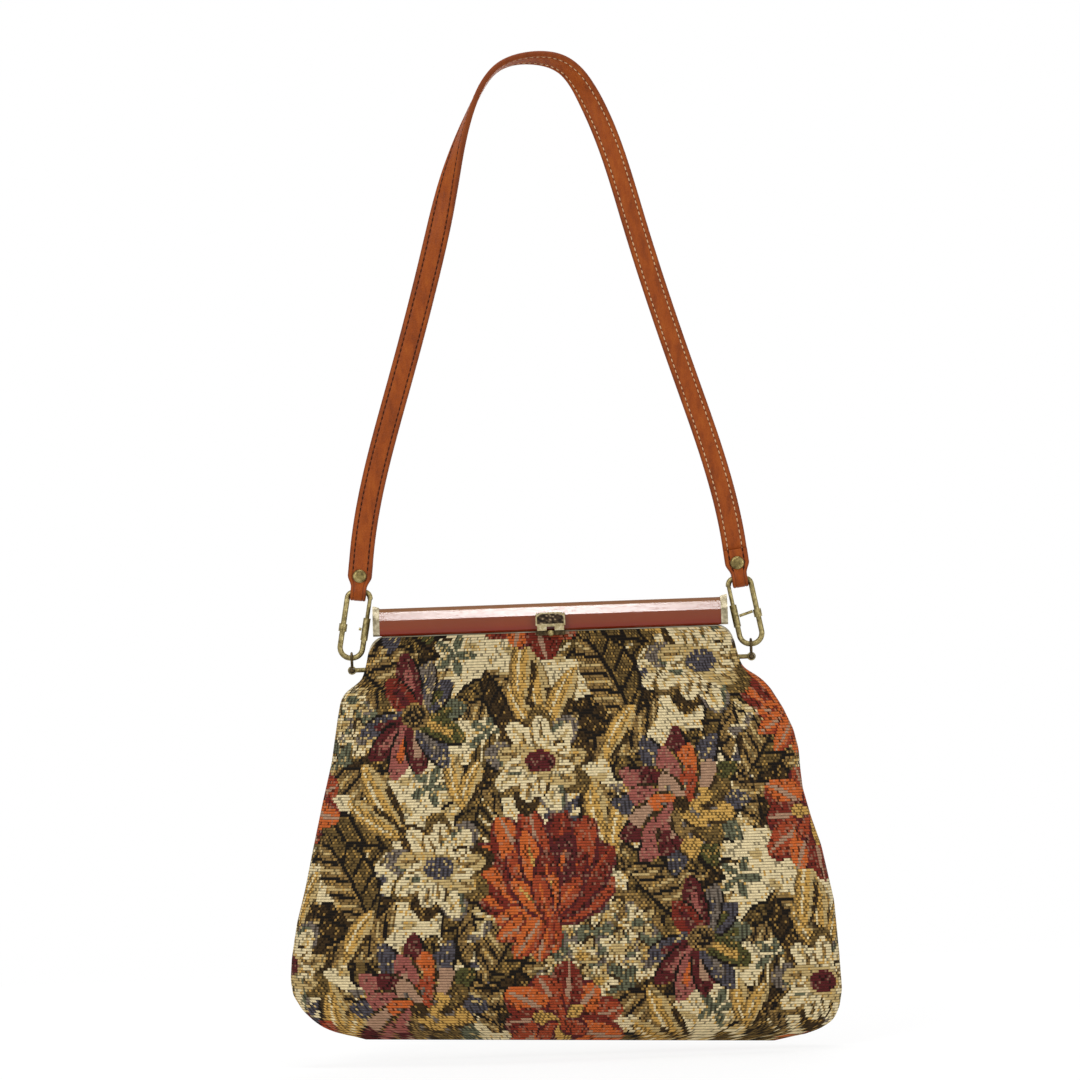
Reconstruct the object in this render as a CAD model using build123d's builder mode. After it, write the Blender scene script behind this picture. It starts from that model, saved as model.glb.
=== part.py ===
from build123d import *
from math import cos, pi, radians, sin, tan
import os

os.makedirs("parts", exist_ok=True)

# Tapestry frame handbag, hanging by its strap. Lengths in millimetres, angles in degrees.
# The origin is the underside of the strap's highest point, where a hook or a hand holds it.
# X runs along the top bar, the front of the bag faces -Y, and +Z is up.
# side is -1 for the left and +1 for the right, as seen from the front.

# Clearances and overrun
running_clearance = 0.05
moving_clearance = 0.3
cut_overrun = 2.0

# Strap: a padded leather band whose ends fold round the links
strap_width = 12.4
strap_thickness = 3.0
strap_edge_radius = 1.0
rivet_beyond_frame = 2.8
rivet_drop = 264.2
strap_end_lean = 7.0
strap_route_shares = [(0.0, 0.0), (0.17, 0.016), (0.305, 0.085), (0.525, 0.343), (0.77, 0.66)]
strap_stations_per_side = 9
twist_start_share = 0.02
twist_end_share = 0.34
fold_width = 7.6
fold_wall = 1.8
fold_clearance = 1.3
fold_slot_share = 2.3
tab_half_thickness = 2.3
rivet_above_link = 8.1
rivet_flat_margin = 0.3
tab_above_rivet = 6.9
strap_joint_above_tab = 4.0

# Rivets
rivet_head_radius = 3.6
rivet_head_height = 1.5
rivet_dome_radius = 1.3
rivet_shank_radius = 1.5

# Links: long oval rings of round wire, hanging from the strap folds
link_wire_radius = 1.4
link_thin_wire_radius = 1.05
link_width = 14.6
link_height = 36.5
link_lean = 10.5
link_top_bend = 3.2
link_low_bend = 5.5
sleeve_radius = 1.85
sleeve_length = 11.5
sleeve_drop_share = 0.57
collar_radius = 2.1
collar_length = 4.0
collar_drop_share = 0.53
crossbar_radius = 0.75
crossbar_rise = 2.2
crossbar_gap = 0.25
crossbar_stub_length = 1.3

# Shackles and the eyes of the hinge pins
shackle_wire_radius = 0.65
shackle_clearance = 0.35
shackle_length = 6.4
shackle_eye_radius = 1.5
shackle_pin_radius = 0.8
shackle_ball_radius = 1.5
eye_radius = 2.2
eye_side_clearance = 0.45

# Frame halves: channel rails with legs and hinge ears
rail_height = 3.0
rail_depth = 5.0
rail_gap = 0.8
rail_top_above_hinge = 17.0
rail_shoulder_inset = 1.6
rail_foot_half_span = 94.2
rail_foot_above_hinge = 4.2
rail_solid_foot = 2.5
rail_corner_radius = 9.0
channel_wall = 0.7
front_rail_lowering = 0.35
ear_radius = 3.6
ear_thickness = 1.0
ear_inset = 2.7
ear_web_width = 3.0
hinge_pin_radius = 1.2
hinge_head_radius = 1.9
hinge_head_thickness = 0.8

# Top bar and its end caps
bar_inset = 5.0
bar_height = 14.0
bar_depth = 16.0
bar_face_height = 8.0
bar_facet_height = 4.2
bar_top_width = 8.0
bar_crest_width = 4.4
bar_foot_chamfer = 1.0
cap_length = 3.4
cap_proud = 0.35
cap_splay = 0.9

# Clasp on the bar, catch on the front rail
clasp_axis_above_bar = 8.2
clasp_lug_radius = 0.95
clasp_lug_width = 12.6
clasp_pin_radius = 0.5
tab_width = 15.2
tab_top_above_axis = 1.2
tab_plate_height = 6.7
tab_plate_thickness = 1.2
tab_corner_chamfer = 2.3
tab_rim_width = 0.7
tab_engraving_depth = 0.35
tab_cheek_thickness = 0.8
tab_back_clearance = 0.3
lip_height = 2.6
lip_thickness = 0.8
lip_inset = 0.7
notch_clearance = 0.35
spring_thickness = 0.3
spring_width = 6.0
spring_length = 4.6
catch_width = 15.0
catch_height = 2.1
catch_below_lip = 0.35
catch_chamfer = 0.6
stud_ball_radius = 1.7
stud_stem_radius = 0.8
stud_stem_reach = 1.3

# Fabric pouch: two panels sewn round the sides and the hem, hung from the rails
body_drop = 194.0
left_flare = 45.7
right_flare = 48.9
body_half_depth = 25.5
fabric_wall = 1.2
mouth_rise = 12.2
mouth_inset = 11.7
mouth_half_depth = 4.8
mouth_fullness = 7.0
neck_inset = 4.7
neck_half_depth = 6.2
neck_fullness = 5.0
hem_tilt = 2.05
lining_gap = 0.15
lining_wall = 0.45
seam_allowance = 3.0
swing_room = 0.6
section_steps = 8
# Depth below the hinge, left and right reach, half depth, and a fullness exponent
# that is 2 for an ellipse and higher for a squarer section
pouch_section_shares = [
    (0.044, 0.750, 0.737, 0.33, 4.0),
    (0.124, 0.788, 0.818, 0.51, 3.2),
    (0.242, 0.820, 0.876, 0.70, 2.8),
    (0.361, 0.865, 0.885, 0.84, 2.5),
    (0.505, 0.911, 0.943, 0.94, 2.3),
    (0.655, 0.966, 0.983, 1.00, 2.2),
    (0.789, 0.999, 0.995, 0.98, 2.2),
    (0.876, 0.975, 1.000, 0.86, 2.2),
    (0.933, 0.905, 0.985, 0.66, 2.2),
    (0.969, 0.800, 0.955, 0.42, 2.2),
    (0.990, 0.690, 0.900, 0.22, 2.2),
    (1.000, 0.600, 0.840, 0.10, 2.2),
]

# Places that follow from the sizes above
rivet_half_span = rail_foot_half_span + rivet_beyond_frame
rail_shoulder_half_span = rail_foot_half_span - rail_shoulder_inset
ear_half_span = rail_foot_half_span - ear_inset
bar_half_length = rail_shoulder_half_span - bar_inset
mouth_half_span = rail_foot_half_span - mouth_inset
neck_half_span = rail_foot_half_span - neck_inset
body_left = rail_foot_half_span + left_flare
body_right = rail_foot_half_span + right_flare
sides = {"left": -1, "right": 1}
strap_lean = radians(strap_end_lean)
ring_lean = radians(link_lean)
fold_inner_radius = link_wire_radius + fold_clearance
fold_outer_radius = fold_inner_radius + fold_wall
strap_joint_above_link = rivet_above_link + tab_above_rivet + strap_joint_above_tab
link_half_width = link_width / 2 - link_wire_radius
link_half_height = link_height / 2 - link_wire_radius
link_shift = link_half_height * tan(ring_lean)
blunt_turn = radians((90 + link_lean) / 2)
sharp_turn = radians((90 - link_lean) / 2)
fold_offset_x = link_top_bend * (tan(blunt_turn) - tan(sharp_turn)) / 2
low_offset_x = link_low_bend * (tan(sharp_turn) - tan(blunt_turn)) / 2
fold_x = rivet_half_span + rivet_above_link * sin(strap_lean)
fold_z = strap_thickness / 2 - rivet_drop - rivet_above_link * cos(strap_lean)
link_centre_x = fold_x - fold_offset_x + link_shift
link_centre_z = fold_z - link_half_height
shackle_x = link_centre_x + link_shift + low_offset_x
link_low_z = link_centre_z - link_half_height
hinge_z = link_low_z - shackle_length
rail_top_z = hinge_z + rail_top_above_hinge
bar_bottom_z = rail_top_z
shackle_half_gap = link_wire_radius + shackle_clearance + shackle_wire_radius
bar_face_y = -bar_depth / 2
clasp_axis_y = bar_face_y - clasp_lug_radius
clasp_axis_z = bar_bottom_z + clasp_axis_above_bar
tab_back_y = clasp_axis_y - clasp_lug_radius - tab_back_clearance
tab_top_z = clasp_axis_z + tab_top_above_axis
tab_bottom_z = tab_top_z - tab_plate_height
lip_bottom_z = tab_bottom_z - lip_height
catch_top_z = lip_bottom_z - catch_below_lip
stud_z = catch_top_z - catch_height / 2
rail_front_y = -rail_gap / 2 - rail_depth
catch_front_y = tab_back_y + lip_inset + moving_clearance
stud_y = catch_front_y - stud_stem_reach
ear_step = ear_thickness + moving_clearance


def save(piece, label):
    piece.label = label
    export_step(piece, f"parts/{label}.step")


def strap_end_frame(side):
    """Plane across the fold: local x towards the turned back tab, local y up the strap."""
    origin = (side * fold_x, 0, fold_z)
    up = Vector(-side * sin(strap_lean), 0, cos(strap_lean))
    across = Vector(0, -side, 0)
    return Plane(origin=origin, x_dir=across, z_dir=across.cross(up))


def link_frame(side):
    """Plane of a link: local x outwards from the bag, local y up."""
    origin = (side * link_centre_x, 0, link_centre_z)
    return Plane(origin=origin, x_dir=(side, 0, 0), z_dir=(0, -side, 0))


def leg_point(leg, height):
    """Point on a link's leg, which leans outwards as it goes down; leg is -1 on the inside."""
    return Vector(leg * link_half_width - height * tan(ring_lean), height, 0)


def smooth_step(share):
    share = min(max(share, 0), 1)
    return share * share * (3 - 2 * share)


# Strap end: fold round the link, turned back tab and rivet hole
def make_strap_end(side):
    frame = strap_end_frame(side)
    half = strap_thickness / 2
    tab_top = rivet_above_link + tab_above_rivet
    flat_low = rivet_above_link - rivet_head_radius - rivet_flat_margin
    flat_high = rivet_above_link + rivet_head_radius + rivet_flat_margin
    with BuildPart() as strap_end:
        with BuildSketch(frame):
            with BuildLine():
                Polyline(
                    (-fold_outer_radius, 0),
                    (-tab_half_thickness, flat_low),
                    (-tab_half_thickness, flat_high),
                    (-half, strap_joint_above_link),
                    (half, strap_joint_above_link),
                    (half, tab_top),
                    (tab_half_thickness, tab_top),
                    (tab_half_thickness, flat_low),
                    (fold_outer_radius, 0),
                )
                ThreePointArc((fold_outer_radius, 0), (0, -fold_outer_radius), (-fold_outer_radius, 0))
            make_face()
            with BuildLine():
                ThreePointArc((fold_inner_radius, 0), (0, -fold_inner_radius), (-fold_inner_radius, 0))
                Polyline(
                    (-fold_inner_radius, 0),
                    (0, fold_slot_share * fold_inner_radius),
                    (fold_inner_radius, 0),
                )
            make_face(mode=Mode.SUBTRACT)
        extrude(amount=strap_width / 2, both=True)
        # The band narrows at the fold to pass between the legs of the link
        outline_plane = Plane(origin=frame.origin, x_dir=frame.z_dir, z_dir=frame.x_dir)
        up_sign = 1 if outline_plane.y_dir.Z > 0 else -1
        with BuildSketch(outline_plane):
            with BuildLine():
                Polyline(
                    (-fold_width / 2, -up_sign * (fold_outer_radius + cut_overrun)),
                    (fold_width / 2, -up_sign * (fold_outer_radius + cut_overrun)),
                    (fold_width / 2, up_sign * fold_inner_radius),
                    (strap_width / 2, up_sign * rivet_above_link),
                    (strap_width / 2, up_sign * (strap_joint_above_link + cut_overrun)),
                    (-strap_width / 2, up_sign * (strap_joint_above_link + cut_overrun)),
                    (-strap_width / 2, up_sign * rivet_above_link),
                    (-fold_width / 2, up_sign * fold_inner_radius),
                    close=True,
                )
            make_face()
        extrude(amount=fold_outer_radius + cut_overrun, both=True, mode=Mode.INTERSECT)
        hole_origin = frame.from_local_coords(Vector(0, rivet_above_link, 0))
        with BuildSketch(Plane(origin=hole_origin, z_dir=frame.x_dir)):
            Circle(rivet_shank_radius + running_clearance)
        extrude(amount=tab_half_thickness + cut_overrun, both=True, mode=Mode.SUBTRACT)
    return strap_end.part


# Strap: a band that twists a quarter turn on each leg, so that it lies edge on at the top
strap_ends = {name: make_strap_end(side) for name, side in sides.items()}
joint_point = strap_end_frame(1).from_local_coords(Vector(0, strap_joint_above_link, 0))
joint_half_span = joint_point.X
joint_drop = strap_thickness / 2 - joint_point.Z
right_route = [
    (x_share * joint_half_span, strap_thickness / 2 - drop_share * joint_drop)
    for x_share, drop_share in strap_route_shares + [(1.0, 1.0)]
]
left_route = [(-x, z) for x, z in reversed(right_route[1:])]
with BuildLine(Plane.XZ) as strap_line:
    Spline(
        *left_route,
        *right_route,
        tangents=[(sin(strap_lean), cos(strap_lean)), (sin(strap_lean), -cos(strap_lean))],
    )
strap_route = strap_line.edge()


def strap_section_plane(position_share):
    """Plane across the band; local y is its outer face, which turns to the front on the left."""
    along = strap_route.tangent_at(position_share)
    outwards = along.cross(Vector(0, 1, 0))
    from_apex = 2 * position_share - 1
    turn_share = smooth_step((abs(from_apex) - twist_start_share) / (twist_end_share - twist_start_share))
    turn = turn_share * pi / 2 * (1 if from_apex < 0 else -1)
    face = outwards * cos(turn) + Vector(0, -1, 0) * sin(turn)
    return Plane(origin=strap_route.position_at(position_share), x_dir=face.cross(along), z_dir=along)


with BuildPart() as strap:
    last_station = 2 * strap_stations_per_side
    for station in range(last_station + 1):
        with BuildSketch(strap_section_plane(station / last_station)):
            RectangleRounded(strap_width, strap_thickness, strap_edge_radius)
    loft()
    for strap_end in strap_ends.values():
        add(strap_end)
save(strap.part, "strap")

# Rivets: a shank with a dome on each face of the strap end
for name, side in sides.items():
    frame = strap_end_frame(side)
    centre = frame.from_local_coords(Vector(0, rivet_above_link, 0))
    with BuildPart() as rivet:
        with BuildSketch(Plane(origin=centre, z_dir=frame.x_dir)):
            Circle(rivet_shank_radius)
        extrude(amount=tab_half_thickness, both=True)
        for face_side in (-1, 1):
            head_plane = Plane(origin=centre + frame.x_dir * face_side * tab_half_thickness, z_dir=frame.x_dir)
            with BuildSketch(head_plane):
                Circle(rivet_head_radius)
            extrude(amount=face_side * rivet_head_height)
        fillet(rivet.edges().group_by(Axis(centre, frame.x_dir))[0], rivet_dome_radius)
        fillet(rivet.edges().group_by(Axis(centre, frame.x_dir))[-1], rivet_dome_radius)
    save(rivet.part, f"{name}_rivet")

# Links: heavy wire round the outer leg and both bends, a thin rod down the upper inner leg
sleeve_y = link_half_height - 2 * link_half_height * sleeve_drop_share
collar_y = link_half_height - 2 * link_half_height * collar_drop_share
leg_down = Vector(sin(ring_lean), -cos(ring_lean), 0)
thin_top_y = link_half_height - link_top_bend * tan(blunt_turn)
with BuildLine() as link_route:
    FilletPolyline(
        leg_point(-1, sleeve_y),
        leg_point(-1, -link_half_height),
        leg_point(1, -link_half_height),
        leg_point(1, link_half_height),
        leg_point(-1, link_half_height),
        leg_point(-1, thin_top_y),
        radius=[link_low_bend, link_low_bend, link_top_bend, link_top_bend],
    )
for name, side in sides.items():
    frame = link_frame(side)
    thin_start = frame.from_local_coords(leg_point(-1, thin_top_y))
    wire_start = frame.from_local_coords(leg_point(-1, sleeve_y))
    down_leg = frame.from_local_coords(leg_down) - frame.origin
    with BuildPart() as link:
        with BuildSketch(Plane(origin=wire_start, z_dir=down_leg)):
            Circle(link_wire_radius)
        sweep(path=frame * link_route.wire())
        with BuildSketch(Plane(origin=thin_start, z_dir=down_leg)):
            Circle(link_thin_wire_radius)
        extrude(amount=(wire_start - thin_start).length)
    save(link.part, f"{name}_link")

    sleeve_top = wire_start - down_leg * sleeve_length / 2
    with BuildPart() as sleeve:
        with BuildSketch(Plane(origin=sleeve_top, z_dir=down_leg)):
            Circle(sleeve_radius)
            Circle(link_wire_radius + running_clearance, mode=Mode.SUBTRACT)
        extrude(amount=sleeve_length)
    save(sleeve.part, f"{name}_link_sleeve")

    collar_top = frame.from_local_coords(leg_point(1, collar_y)) - down_leg * collar_length / 2
    with BuildPart() as collar:
        with BuildSketch(Plane(origin=collar_top, z_dir=down_leg)):
            Circle(collar_radius)
            Circle(link_wire_radius + running_clearance, mode=Mode.SUBTRACT)
        extrude(amount=collar_length)
    save(collar.part, f"{name}_link_collar")

    bar_start = leg_point(-1, sleeve_y) + Vector(sleeve_radius + crossbar_gap, 0, 0)
    bar_stop = leg_point(1, sleeve_y + crossbar_rise) - Vector(collar_radius + crossbar_gap, 0, 0)
    crossbar_name = "right_link_crossbar"
    if name == "left":
        bar_stop = bar_start + (bar_stop - bar_start).normalized() * crossbar_stub_length
        crossbar_name = "left_crossbar_stub"
    start_point = frame.from_local_coords(bar_start)
    along_bar = frame.from_local_coords(bar_stop) - start_point
    with BuildPart() as crossbar:
        with BuildSketch(Plane(origin=start_point, z_dir=along_bar)):
            Circle(crossbar_radius)
        extrude(amount=along_bar.length)
    save(crossbar.part, crossbar_name)

# Shackles, their ball ended pins, and the hinge pins with the eyes that they hold
eye_half_thickness = shackle_half_gap - shackle_wire_radius - eye_side_clearance
eye_hole_radius = shackle_pin_radius + running_clearance
ball_y = shackle_half_gap + shackle_wire_radius + shackle_ball_radius - running_clearance
for name, side in sides.items():
    across_plane = Plane(origin=(side * shackle_x, 0, hinge_z), x_dir=(0, 1, 0), z_dir=(1, 0, 0))
    along_y = Plane(origin=across_plane.origin, x_dir=(1, 0, 0), z_dir=(0, 1, 0))
    with BuildPart() as shackle:
        with BuildLine(across_plane):
            Line((-shackle_half_gap, 0), (-shackle_half_gap, shackle_length))
            ThreePointArc(
                (-shackle_half_gap, shackle_length),
                (0, shackle_length + shackle_half_gap),
                (shackle_half_gap, shackle_length),
            )
            Line((shackle_half_gap, shackle_length), (shackle_half_gap, 0))
        with BuildSketch(Plane(origin=(side * shackle_x, -shackle_half_gap, hinge_z))):
            Circle(shackle_wire_radius)
        sweep()
        for eye_side in (-1, 1):
            with BuildSketch(along_y.offset(eye_side * shackle_half_gap)):
                Circle(shackle_eye_radius)
            extrude(amount=shackle_wire_radius, both=True)
        with BuildSketch(along_y):
            Circle(eye_hole_radius)
        extrude(amount=shackle_half_gap + cut_overrun, both=True, mode=Mode.SUBTRACT)
    save(shackle.part, f"{name}_shackle")

    with BuildPart() as shackle_pin:
        with BuildSketch(along_y):
            Circle(shackle_pin_radius)
        extrude(amount=ball_y, both=True)
        for ball_side in (-1, 1):
            with Locations((side * shackle_x, ball_side * ball_y, hinge_z)):
                Sphere(shackle_ball_radius)
    save(shackle_pin.part, f"{name}_shackle_pin")

    head_x = ear_half_span - moving_clearance - hinge_head_thickness
    outwards = Plane(origin=(side * head_x, 0, hinge_z), z_dir=(side, 0, 0))
    with BuildPart() as hinge_pin:
        with BuildSketch(outwards):
            Circle(hinge_head_radius)
        extrude(amount=hinge_head_thickness)
        with BuildSketch(outwards):
            Circle(hinge_pin_radius)
        extrude(amount=shackle_x - head_x)
        with BuildSketch(along_y):
            Circle(eye_radius)
        extrude(amount=eye_half_thickness, both=True)
        with BuildSketch(along_y):
            Circle(eye_hole_radius)
        extrude(amount=eye_radius, both=True, mode=Mode.SUBTRACT)
    save(hinge_pin.part, f"{name}_hinge_pin")


# Frame halves: an arched channel, open towards the pouch, with an ear at each foot
def arch(inset, top, foot):
    """Closed outline of the arch, moved inwards by inset, in the plane of the frame."""
    FilletPolyline(
        (-(rail_foot_half_span - inset), foot),
        (-(rail_shoulder_half_span - inset), top - inset),
        (rail_shoulder_half_span - inset, top - inset),
        (rail_foot_half_span - inset, foot),
        radius=rail_corner_radius - inset,
    )
    Line((rail_foot_half_span - inset, foot), (-(rail_foot_half_span - inset), foot))


def make_frame(half, top, ear_order):
    """half is -1 for the front and +1 for the back."""
    inner_y = half * rail_gap / 2
    outer_y = half * (rail_gap / 2 + rail_depth)
    groove_foot = rail_foot_above_hinge + rail_solid_foot
    rail_plane = Plane(
        origin=(0, max(inner_y, outer_y), hinge_z), x_dir=(1, 0, 0), z_dir=(0, -1, 0)
    )
    with BuildPart() as frame_half:
        with BuildSketch(rail_plane):
            with BuildLine():
                arch(0, top, rail_foot_above_hinge)
            make_face()
            with BuildLine():
                arch(rail_height, top, rail_foot_above_hinge)
            make_face(mode=Mode.SUBTRACT)
        extrude(amount=rail_depth)
        with BuildSketch(rail_plane.offset(channel_wall)):
            with BuildLine():
                arch(channel_wall, top, groove_foot)
            make_face()
        extrude(amount=rail_depth - 2 * channel_wall, mode=Mode.SUBTRACT)
        for side in sides.values():
            ear_x = ear_half_span + ear_order * ear_step
            ear_plane = Plane(origin=(side * ear_x, 0, hinge_z), x_dir=(0, 1, 0), z_dir=(1, 0, 0))
            web_height = rail_foot_above_hinge + rail_solid_foot
            with BuildSketch(ear_plane):
                Circle(ear_radius)
                with Locations((half * (rail_gap + ear_web_width) / 2, web_height / 2)):
                    Rectangle(ear_web_width, web_height)
                Circle(hinge_pin_radius + running_clearance, mode=Mode.SUBTRACT)
            extrude(amount=side * ear_thickness)
    return frame_half.part


front_frame = make_frame(-1, rail_top_above_hinge - front_rail_lowering, 0)
save(front_frame, "front_frame")
back_frame = make_frame(1, rail_top_above_hinge, 1)
save(back_frame, "back_frame")


# Top bar: faceted acrylic section along X, resting on the back rail
def bar_section(grow):
    """Outline across the bar, grown by a share of its size about its foot."""
    half = bar_depth / 2
    points = [
        (half - bar_foot_chamfer, 0),
        (half, bar_foot_chamfer),
        (half, bar_face_height),
        (bar_top_width / 2, bar_face_height + bar_facet_height),
        (bar_crest_width / 2, bar_height),
    ]
    scale = 1 + grow / half
    right_half = [(y * scale, z * scale) for y, z in points]
    Polyline(*right_half, *[(-y, z) for y, z in reversed(right_half)], close=True)


def bar_plane(x):
    return Plane(origin=(x, 0, bar_bottom_z), x_dir=(0, 1, 0), z_dir=(1, 0, 0))


with BuildPart() as top_bar:
    with BuildSketch(bar_plane(0)):
        with BuildLine():
            bar_section(0)
        make_face()
    extrude(amount=bar_half_length, both=True)
save(top_bar.part, "top_bar")

for name, side in sides.items():
    with BuildPart() as end_cap:
        with BuildSketch(bar_plane(side * bar_half_length)):
            with BuildLine():
                bar_section(cap_proud)
            make_face()
        with BuildSketch(bar_plane(side * (bar_half_length + cap_length))):
            with BuildLine():
                bar_section(cap_splay)
            make_face()
        loft(ruled=True)
    save(end_cap.part, f"{name}_end_cap")

# Clasp: lug on the bar, pin, leaf spring and the notched tab that hangs from the pin
clasp_plane = Plane(origin=(0, clasp_axis_y, clasp_axis_z), x_dir=(0, 1, 0), z_dir=(1, 0, 0))
with BuildPart() as clasp_base:
    with BuildSketch(clasp_plane):
        Circle(clasp_lug_radius)
        with Locations((clasp_lug_radius / 2, -clasp_lug_radius / 2)):
            Rectangle(clasp_lug_radius, clasp_lug_radius)
        Circle(clasp_pin_radius + running_clearance, mode=Mode.SUBTRACT)
    extrude(amount=clasp_lug_width / 2, both=True)
save(clasp_base.part, "clasp_base")

with BuildPart() as clasp_hinge_pin:
    with BuildSketch(clasp_plane):
        Circle(clasp_pin_radius)
    extrude(amount=tab_width / 2, both=True)
save(clasp_hinge_pin.part, "clasp_hinge_pin")

spring_top = -clasp_lug_radius
spring_bulge = clasp_axis_y - tab_back_y - spring_thickness - moving_clearance
with BuildPart() as clasp_spring:
    with BuildSketch(clasp_plane):
        with BuildLine():
            ThreePointArc(
                (clasp_lug_radius, spring_top),
                (-spring_bulge, spring_top - spring_length / 2),
                (clasp_lug_radius, spring_top - spring_length),
            )
            Line(
                (clasp_lug_radius, spring_top - spring_length),
                (clasp_lug_radius, spring_top - spring_length + spring_thickness),
            )
            ThreePointArc(
                (clasp_lug_radius, spring_top - spring_length + spring_thickness),
                (spring_thickness - spring_bulge, spring_top - spring_length / 2),
                (clasp_lug_radius, spring_top - spring_thickness),
            )
            Line((clasp_lug_radius, spring_top - spring_thickness), (clasp_lug_radius, spring_top))
        make_face()
    extrude(amount=spring_width / 2, both=True)
save(clasp_spring.part, "clasp_spring")

cheek_half_span = clasp_lug_width / 2 + moving_clearance
notch_half_width = stud_ball_radius + notch_clearance
tab_face = Plane(origin=(0, tab_back_y, tab_bottom_z), x_dir=(1, 0, 0), z_dir=(0, -1, 0))


def tab_outline(inset):
    """Six sided plate with both upper corners cut off."""
    half = tab_width / 2 - inset
    Polyline(
        (-half, inset),
        (half, inset),
        (half, tab_plate_height - tab_corner_chamfer),
        (half - tab_corner_chamfer + inset, tab_plate_height - inset),
        (-half + tab_corner_chamfer - inset, tab_plate_height - inset),
        (-half, tab_plate_height - tab_corner_chamfer),
        close=True,
    )


with BuildPart() as clasp_tab:
    with BuildSketch(tab_face):
        with BuildLine():
            tab_outline(0)
        make_face()
    extrude(amount=tab_plate_thickness)
    with BuildSketch(tab_face.offset(tab_plate_thickness)):
        with BuildLine():
            tab_outline(tab_rim_width)
        make_face()
    extrude(amount=-tab_engraving_depth, mode=Mode.SUBTRACT)
    # Lip below the plate, set back, with the notch that straddles the stud
    with BuildSketch(tab_face.offset(-lip_inset)):
        with Locations((0, -lip_height / 2)):
            Rectangle(tab_width - 2 * tab_rim_width, lip_height)
        with Locations((0, -lip_height)):
            Rectangle(2 * notch_half_width, 2 * (catch_below_lip + stud_ball_radius))
    extrude(amount=lip_inset + lip_thickness, mode=Mode.ADD)
    with BuildSketch(tab_face.offset(-lip_inset)):
        with Locations((0, -lip_height)):
            Rectangle(2 * notch_half_width, 2 * (catch_below_lip + stud_ball_radius))
    extrude(amount=lip_inset + lip_thickness, mode=Mode.SUBTRACT)
    # Cheeks that reach back to the pin
    for side in sides.values():
        cheek_plane = Plane(
            origin=(side * cheek_half_span, clasp_axis_y, clasp_axis_z), x_dir=(0, 1, 0), z_dir=(1, 0, 0)
        )
        reach = clasp_axis_y - tab_back_y + tab_plate_thickness / 2
        with BuildSketch(cheek_plane):
            Circle(clasp_lug_radius)
            with Locations((-reach / 2, 0)):
                Rectangle(reach, 2 * clasp_lug_radius)
            Circle(clasp_pin_radius + running_clearance, mode=Mode.SUBTRACT)
        extrude(amount=side * tab_cheek_thickness)
save(clasp_tab.part, "clasp_tab")

# Catch on the front rail: a bracket and the ball stud in its front face
catch_depth = rail_front_y - catch_front_y
with BuildPart() as catch_plate:
    catch_centre = (0, rail_front_y - catch_depth / 2, catch_top_z - catch_height / 2)
    with Locations(catch_centre):
        Box(catch_width, catch_depth, catch_height)
    chamfer(catch_plate.edges().filter_by(Axis.Z).group_by(Axis.Y)[0], catch_chamfer)
save(catch_plate.part, "catch_plate")

stud_plane = Plane(origin=(0, catch_front_y, stud_z), x_dir=(1, 0, 0), z_dir=(0, -1, 0))
with BuildPart() as catch_stud:
    with BuildSketch(stud_plane):
        Circle(stud_stem_radius)
    extrude(amount=stud_stem_reach + stud_ball_radius)
    with Locations((0, stud_y - stud_ball_radius, stud_z)):
        Sphere(stud_ball_radius)
save(catch_stud.part, "catch_stud")


# Pouch and lining: lofted shells with an open mouth
def section_points(left, right, half_depth, fullness):
    """Points round one section of the pouch, from the right edge by the front to the left and back."""
    centre = (right - left) / 2
    half = (right + left) / 2
    power = 2 / fullness
    front = [(right, 0)]
    for step in range(1, section_steps):
        angle = pi * step / section_steps
        sign = 1 if cos(angle) > 0 else -1
        front.append((centre + sign * half * abs(cos(angle)) ** power, -half_depth * sin(angle) ** power))
    front.append((-left, 0))
    back = [(x, -y) for x, y in reversed(front[1:-1])]
    return front + back


def section_plane(depth, tilt):
    """Level plane at a depth below the hinge, tilted so that the hem hangs lower on the right."""
    lean = radians(tilt)
    return Plane(
        origin=(0, 0, hinge_z - depth), x_dir=(cos(lean), 0, -sin(lean)), z_dir=(sin(lean), 0, cos(lean))
    )


def pouch_solid(inset, rows):
    """Filled pouch, inset within the fabric's outer face, that reaches past the mouth."""
    mouth_depth = -mouth_rise - cut_overrun
    sections = [
        (mouth_depth, mouth_half_span, mouth_half_span, mouth_half_depth, mouth_fullness, 0),
        (0, neck_half_span, neck_half_span, neck_half_depth, neck_fullness, 0),
    ]
    for depth_share, left_share, right_share, half_share, fullness in rows:
        sections.append(
            (
                depth_share * body_drop,
                left_share * body_left,
                right_share * body_right,
                half_share * body_half_depth,
                fullness,
                hem_tilt * depth_share**2,
            )
        )
    side_inset = inset + seam_allowance if inset else 0
    with BuildPart() as pouch:
        for depth, left, right, half_depth, fullness, tilt in sections:
            with BuildSketch(section_plane(depth, tilt)):
                with BuildLine():
                    reach = (left - side_inset, right - side_inset)
                    outline = section_points(*reach, half_depth - inset, fullness)
                    Spline(*outline, periodic=True)
                make_face()
        loft()
    return pouch.part


# Room above the mouth, round the hinge for the ears, and for the ends of the shackle pins
with BuildPart() as swing_space:
    with BuildSketch(Plane.XY.offset(hinge_z + mouth_rise)):
        Rectangle(2 * body_right, 2 * body_half_depth)
    extrude(amount=2 * cut_overrun)
    ball_reach = ball_y + shackle_ball_radius + swing_room
    for side in sides.values():
        for start_x, reach in (
            (head_x - swing_room, ear_radius + swing_room),
            (shackle_x - shackle_ball_radius - swing_room, ball_reach),
        ):
            with BuildSketch(Plane(origin=(side * start_x, 0, hinge_z), z_dir=(side, 0, 0))):
                Circle(reach)
            extrude(amount=body_right - start_x)

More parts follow.
